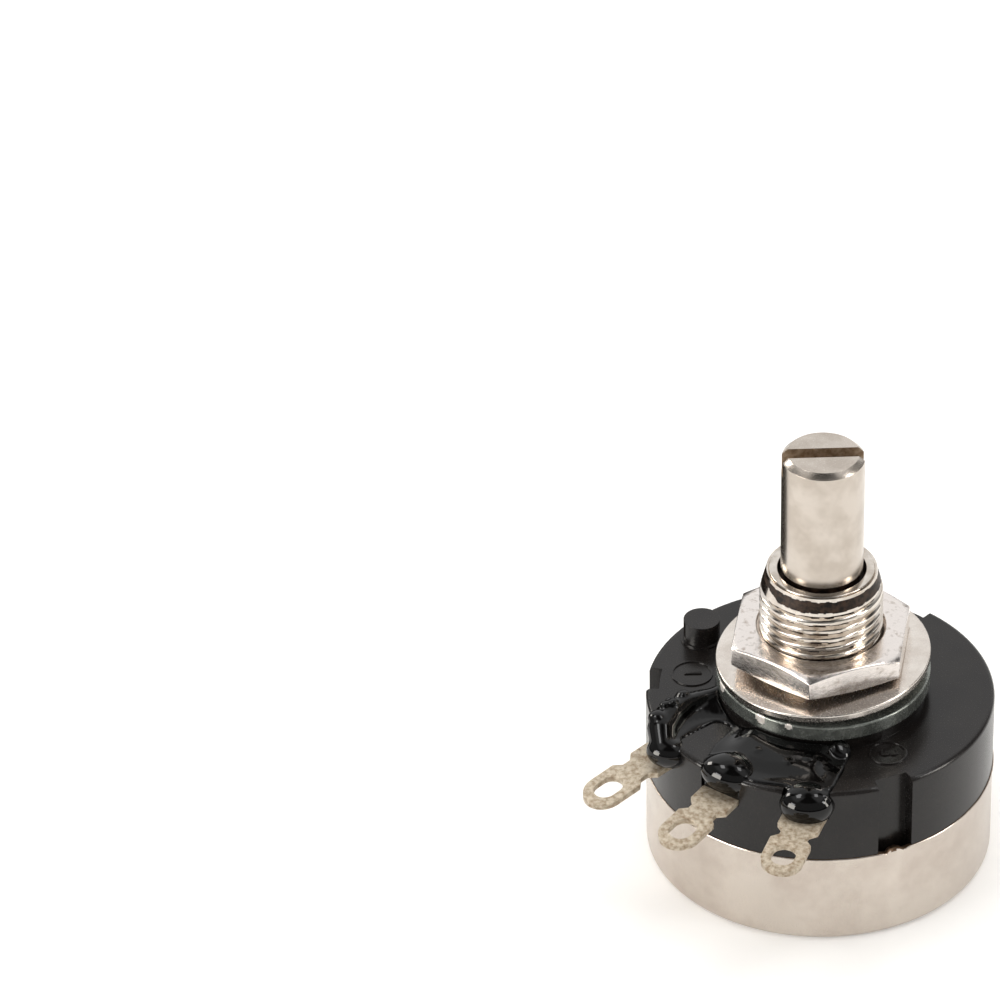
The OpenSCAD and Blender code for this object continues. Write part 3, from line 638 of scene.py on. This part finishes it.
# The bead over each lug, then the ridge that runs up from the first one, and the small drips
drop(work, (-5.2, -12.0, 12.6), (1.55, 1.2, 1.15), 20)
drop(work, (0.08, -11.9, 12.95), (2.1, 1.5, 1.33), 4)
drop(work, (6.33, -10.82, 12.28), (2.03, 1.62, 1.5), 29)
ridge = [
    (-5.5, -12.0, 13.0, 1.0), (-6.4, -10.9, 13.45, 1.15), (-6.8, -9.4, 13.55, 1.2),
    (-6.7, -7.9, 13.5, 1.15), (-6.1, -6.5, 13.35, 1.0), (-5.3, -5.5, 13.3, 0.8),
]
ridge_steps = 5
for before, after in zip(ridge, ridge[1:]):
    for k in range(ridge_steps):
        x, y, z, size = (a + (b - a) * k / ridge_steps for a, b in zip(before, after))
        drop(work, (x, y, z), (size, size, 0.85 * size))
drips = [
    (-6.95, -10.7, 14.1, 0.75), (-7.15, -9.55, 14.45, 0.44), (-6.75, -9.1, 14.6, 0.38),
    (-7.25, -8.85, 14.4, 0.36), (-6.85, -7.8, 14.4, 0.52), (5.8, -5.75, 13.5, 0.75),
    (6.6, -7.3, 13.35, 0.35), (3.6, -9.3, 13.5, 0.2), (1.1, -9.5, 13.5, 0.16),
    (4.6, -8.2, 13.5, 0.18), (5.35, -8.0, 13.5, 0.16), (-1.0, -8.9, 13.5, 0.18),
]
for x, y, z, size in drips:
    drop(work, (x, y, z), (size, size, 0.75 * size))
mesh = bpy.data.meshes.new("resin_drops")
work.to_mesh(mesh)
work.free()

# Resin that set in the open: black and wet, with small sharp lights
resin_black = finish("wet black resin", "#070606", "#040404", 0, 0.05, cloud_mm=2.0, grain_mm=0.9,
                     relief=0.03, gloss_level=0.36)
resin = new_piece("sealing_resin", mesh, resin_black)
melt = resin.modifiers.new("melt", "REMESH")
melt.mode = "VOXEL"
melt.voxel_size = resin_voxel * MM
melt.use_smooth_shade = True
settle = resin.modifiers.new("settle", "SMOOTH")
settle.factor = 0.5
settle.iterations = 11
apply_modifiers(resin)
# The film thickens from its edge towards the boss, and is a little uneven.
shore = kdtree.KDTree(len(film_rim))
for k, point in enumerate(film_rim):
    shore.insert((point.x, point.y, 0), k)
shore.balance()
for vert in resin.data.vertices:
    x, y, z = vert.co / MM
    inland = step(shore.find((x, y, 0))[2], shore_low, shore_high)
    flow = noise.noise(vert.co / (wave_mm * MM)) * wave
    flow += swell * max(0.0, swell_r - math.hypot(x, y)) * inland
    above_cover = max(0.0, min(1.0, (z - cover_z) * 6))
    vert.co.z += above_cover * MM * flow
stands_for(resin, "case", "resin", "resin_bead_1", "resin_bead_2", "resin_bead_3", "resin_film")


# Bushing
# Turned brass with bright nickel plate, moulded into the cover by its hexagon. It
# carries an M9 x 0.75 thread that starts with a taper, and a counterbored mouth.
thread_r, thread_root_r, thread_pitch, rows_per_pitch = 4.5, 4.04, 0.75, 14
root_flat, crest_flat = 0.04, 0.66
thread_low, bush_z, lead_len, lead_in, smooth_end = 14.4, 24.3, 1.9, 0.5, 1.15
bore_r, mouth_r, mouth_z, key_flat = 2.53, 3.2, 23.25, 13.2 / 2 * math.cos(math.pi / 6)


def thread_tree(material):
    """Presses a right-handed thread into a turned wall, as a lathe tool does."""
    tree = bpy.data.node_groups.new("cut thread", "GeometryNodeTree")
    tree.interface.new_socket("Geometry", in_out="INPUT", socket_type="NodeSocketGeometry")
    sockets = {}
    for name in ("Pitch", "Root radius", "Low", "High", "Inner radius", "Outer radius"):
        socket = tree.interface.new_socket(name, in_out="INPUT", socket_type="NodeSocketFloat")
        sockets[name] = socket.identifier
    tree.interface.new_socket("Geometry", in_out="OUTPUT", socket_type="NodeSocketGeometry")
    given = add(tree, "NodeGroupInput")

    def maths(operation, first, second=0.0, third=0.0):
        node = add(tree, "ShaderNodeMath", {"operation": operation}, {0: first, 1: second, 2: third})
        return node.outputs[0]

    place = add(tree, "GeometryNodeInputPosition")
    parts = add(tree, "ShaderNodeSeparateXYZ", inputs={0: place.outputs[0]})
    x, y, z = parts.outputs
    angle = maths("ARCTAN2", y, x)
    turns = maths("SUBTRACT", maths("DIVIDE", z, given.outputs["Pitch"]),
                  maths("DIVIDE", angle, 2 * math.pi))
    crest = maths("ABSOLUTE", maths("SUBTRACT", maths("MULTIPLY", maths("FRACT", turns), 2.0), 1.0))
    flat = add(tree, "ShaderNodeMapRange", {"interpolation_type": "LINEAR"},
               {"Value": crest, "From Min": root_flat, "From Max": crest_flat})
    radius = maths("SQRT", maths("ADD", maths("MULTIPLY", x, x), maths("MULTIPLY", y, y)))
    peak = maths("SUBTRACT", thread_r * MM, given.outputs["Root radius"])
    cut = maths("MULTIPLY_ADD", flat.outputs[0], peak, given.outputs["Root radius"])
    cut = maths("MINIMUM", radius, cut)
    inside = maths("MULTIPLY", maths("GREATER_THAN", z, given.outputs["Low"]),
                   maths("LESS_THAN", z, given.outputs["High"]))
    inside = maths("MULTIPLY", inside, maths("GREATER_THAN", radius, given.outputs["Inner radius"]))
    inside = maths("MULTIPLY", inside, maths("LESS_THAN", radius, given.outputs["Outer radius"]))
    ratio = maths("DIVIDE", cut, radius)
    moved = add(tree, "ShaderNodeCombineXYZ",
                inputs={0: maths("MULTIPLY", x, ratio), 1: maths("MULTIPLY", y, ratio), 2: z})
    press = add(tree, "GeometryNodeSetPosition", inputs={
        "Geometry": given.outputs["Geometry"], "Selection": inside, "Position": moved.outputs[0]})
    whole = add(tree, "GeometryNodeRealizeInstances", inputs={0: press.outputs[0]})
    coat = add(tree, "GeometryNodeSetMaterial", inputs={"Geometry": whole.outputs[0]})
    coat.inputs["Material"].default_value = material
    add(tree, "NodeGroupOutput", inputs={0: coat.outputs[0]})
    return tree, sockets


def hexagon(place):
    """Draws the key in the stem out to a hexagon."""
    radius = math.hypot(place.x, place.y)
    if radius < 5.5:
        return place
    angle = math.degrees(math.atan2(place.y, place.x))
    reach = key_flat / math.cos(math.radians((angle + 30) % 60 - 30))
    return Vector((place.x * reach / radius, place.y * reach / radius, place.z))


# Nickel on brass from the lathe: nearly a mirror, with fine marks that run round the axis
turned_nickel = finish("nickel on turned brass", "#e0d9d0", "#c2b8ad", 1, 0.12, cloud_mm=2.0,
                       grain_mm=0.08, grain_way=(1, 1, 5), relief=0.12)
straight = bush_z - lead_len - thread_low
rows = round(straight / thread_pitch * rows_per_pitch)
wall = [Vector((thread_r, thread_low + straight * k / rows)) for k in range(rows + 1)]
rows = round(lead_len / thread_pitch * rows_per_pitch)
wall += [Vector((thread_r - lead_in * k / rows, bush_z - lead_len + lead_len * k / rows))
         for k in range(1, rows)]
bush_profile = rounded([
    (bore_r, mouth_z, 0), (bore_r, 10.2, 0.1), (4.2, 10.2, 0.1), (4.2, 11.4, 0), (6, 11.4, 0.1),
    (6, 12.6, 0.1), (5, 12.6, 0), (5, thread_low, 0.05),
]) + wall + rounded([(thread_r - lead_in, bush_z, 0.08), (mouth_r, bush_z, 0.08), (mouth_r, mouth_z, 0.1),
                     (bore_r, mouth_z, 0)])[:-1]
# Dark brown and dull: painted shade in the mouth, at the shaft's foot and in the thread's roots, and a band
# on the taper
shade_and_taper_band = finish("dark brown: painted shade and a taper band", "#3d2d22", "#150f0b", 0, 0.4, cloud_mm=0.4, grain_mm=0.15,
                     relief=0.5, gloss_level=0.2)
bushing_mesh = turned("threaded_bushing", bush_profile, 288, hexagon)
bushing = new_piece("threaded_bushing", bushing_mesh, turned_nickel)
tree, sockets = thread_tree(turned_nickel)
cutter = bushing.modifiers.new("cut thread", "NODES")
cutter.node_group = tree
thread_inputs = {
    "Pitch": thread_pitch, "Root radius": thread_root_r, "Low": thread_low + 0.02,
    "High": bush_z - smooth_end, "Inner radius": 3.8, "Outer radius": 4.55,
}
for name, value in thread_inputs.items():
    cutter[sockets[name]] = value * MM
apply_modifiers(bushing)
sharp_edges(bushing, 50)


def shade_and_band_places(spot):
    """Where the dark brown goes: painted shade in the mouth and roots, and a taper band, narrower at -X."""
    radius = math.hypot(spot.x, spot.y)
    band_low = bush_z - 1.12 + 0.4 * step(-spot.x, 0.4, 2.6)
    in_mouth = radius < mouth_r + 0.02 and spot.z < bush_z - 0.1
    on_taper = band_low < spot.z + 0.14 * noise.noise(spot / 0.6) < bush_z - 0.28
    in_roots = (thread_low < spot.z < bush_z - smooth_end
                and radius < thread_root_r + 0.1 + 0.08 * noise.noise(spot / 0.7))
    return in_mouth or on_taper or in_roots


# Painted shade in the mouth and in the thread's roots, and a dark brown band on the taper
painted(bushing, shade_and_taper_band, shade_and_band_places)
stands_for(bushing, "case", "nickel_brass", "bushing")


# Washers
# A thick zinc plated washer lies on the boss, and a thin nickel plated one leans
# between it and the nut, because nothing clamps the loose part.
washer_in_r, washer_out_r = 4.8, 7.85
washer_place = Matrix.Translation(polar(127, 0.2))
zinc_z, zinc_t, plain_z, plain_t, wall_steps = 14.4, 1.2, 16.2, 0.6, 8
plain_lean = Matrix.Rotation(math.radians(145), 4, "Z") @ Matrix.Rotation(math.radians(-3.6), 4, "X")


def washer(name, level, thickness, edge, lean, material, slot, node):
    """A punched washer, rounded on its edges."""
    profile = rounded([(washer_in_r, 0, edge), (washer_out_r, 0, edge), (washer_out_r, thickness, edge),
                       (washer_in_r, thickness, edge)])
    rise = next(i for i, point in enumerate(profile) if point.y > thickness / 2)
    profile[rise:rise] = [Vector((washer_out_r, edge + (thickness - 2 * edge) * k / wall_steps))
                          for k in range(1, wall_steps)]
    put = washer_place @ Matrix.Translation((0, 0, level)) @ lean
    piece = new_piece(name, turned(name, profile, 360, lambda place: put @ place), material)
    sharp_edges(piece)
    stands_for(piece, "case", slot, node)
    return piece


# Zinc plate that has dulled in air: grey with a cast of green
zinc_grey = finish("dulled zinc plate", "#8f938e", "#727671", 0.72, 0.24, cloud_mm=1.6, grain_mm=0.4,
                   relief=0.04)
# Nickel on punched sheet: pale, even and satin
washer_nickel = finish("nickel on punched steel", "#e6dfd7", "#d5ccc3", 1, 0.22, cloud_mm=2.5,
                       grain_mm=0.12, relief=0.12)
zinc = washer("zinc_plated_washer", zinc_z, zinc_t, 0.12, Matrix.Identity(4), zinc_grey, "zinc_steel",
              "zinc_washer")
# A nick through the zinc: small, pale and matt
bare_nick = finish("bare steel where a nick broke the zinc", "#f2ece6", "#ded6ce", 0.35, 0.4,
                   cloud_mm=0.3, grain_mm=0.1)
nicks = [
    (polar(-35, washer_out_r, 15.45), 0.5), (polar(0.5, washer_out_r, 15.3), 0.45),
    (polar(17.5, washer_out_r, 15.4), 0.26),
]
painted(zinc, bare_nick, lambda spot: any((spot - middle).length < reach for middle, reach in nicks))
washer("nickel_plated_washer", plain_z, plain_t, 0.1, plain_lean, washer_nickel, "nickel_plate",
       "plain_washer")


# Nut
# A thin hexagon nut, turned from bar and brightly plated, with both rims chamfered
# and its thread countersunk at both ends.

# Nickel on hexagon bar: bright, with small stains and fine scratches across its faces
nut_nickel = finish("bright nickel on hexagon bar", "#e9e2dd", "#bdb2a8", 1, 0.2, cloud_mm=0.6,
                    grain_mm=0.3, grain_way=(1, 1, 2), relief=0.25, share=(0.28, 0.46))
nut = new_piece("nut", copy_of_node("nut", "hex_nut"), nut_nickel)
broken_edges(nut, 0.06)
stands_for(nut, "case", "nickel_brass", "hex_nut")


# Shaft
# A plated brass shaft, turned fine, with a broken rim and a sawn screwdriver slot.
# It runs in the bushing on a thinner journal and carries the rotor below.

# Nickel on a finely turned shaft: soft upright lights, a little cloudy from handling
shaft_nickel = finish("nickel on turned shaft", "#cdc4ba", "#bcb2a7", 1, 0.22, cloud_mm=2.5,
                      grain_mm=0.1, grain_way=(1, 1, 6), relief=0.16)
shaft = new_piece("slotted_shaft", copy_of_node("slotted_shaft", "shaft"), shaft_nickel)
broken_edges(shaft, 0.05)
rest_turn, shaft_z, slot_w, slot_depth, neck_top_z = 38.5, 34.3, 1.15, 1.6, 24.5
# Brass as the slitting saw left it, rough with hardly any shine, and painted darker brown inside the slot
# as its shade
sawn_brass_and_shade = finish("sawn brass with painted shade", "#b9a690", "#8f7b66", 1, 0.5, cloud_mm=0.5, grain_mm=0.08,
                    relief=0.4)
across_slot = Vector((-math.sin(math.radians(rest_turn)), math.cos(math.radians(rest_turn)), 0))
painted(shaft, sawn_brass_and_shade, lambda spot: abs(spot.dot(across_slot)) < slot_w / 2 + 0.01
        and shaft_z - slot_depth - 0.05 < spot.z < shaft_z - 0.06)
# The shaft's neck, down in the bushing's mouth, is painted dark brown as its shade
painted(shaft, shade_and_taper_band, lambda spot: spot.z < neck_top_z - 0.02)
stands_for(shaft, "rotor", "nickel_brass", "shaft")


# Rotor and its small parts
# A brown moulded disc on the shaft's flats, a bronze spring with two carbon brushes,
# a zinc plated stop plate, a thrust washer and a snap ring, all shut in by the can.

# Rolled bronze strip has a golden sheen, and oiled spring steel is dark with a dull shine
spring_bronze = finish("phosphor bronze strip", "#c79a5c", "#a67b42", 1, 0.3, cloud_mm=2.0,
                       grain_mm=0.1, grain_way=(1, 5, 1), relief=0.12)
snap_steel = finish("oiled spring steel", "#4a4a4d", "#303033", 1, 0.38, cloud_mm=1.5, grain_mm=0.1,
                    relief=0.15)
dress(board_brown, "rotor_disc")
dress(spring_bronze, "wiper_spring", "thrust_washer")
dress(carbon_black, "track_brush", "ring_brush")
dress(zinc_grey, "stop_plate")
dress(snap_steel, "retaining_ring")

size = {"cad": [list(corner) for corner in cad_box], "visual": [list(corner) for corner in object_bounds()]}
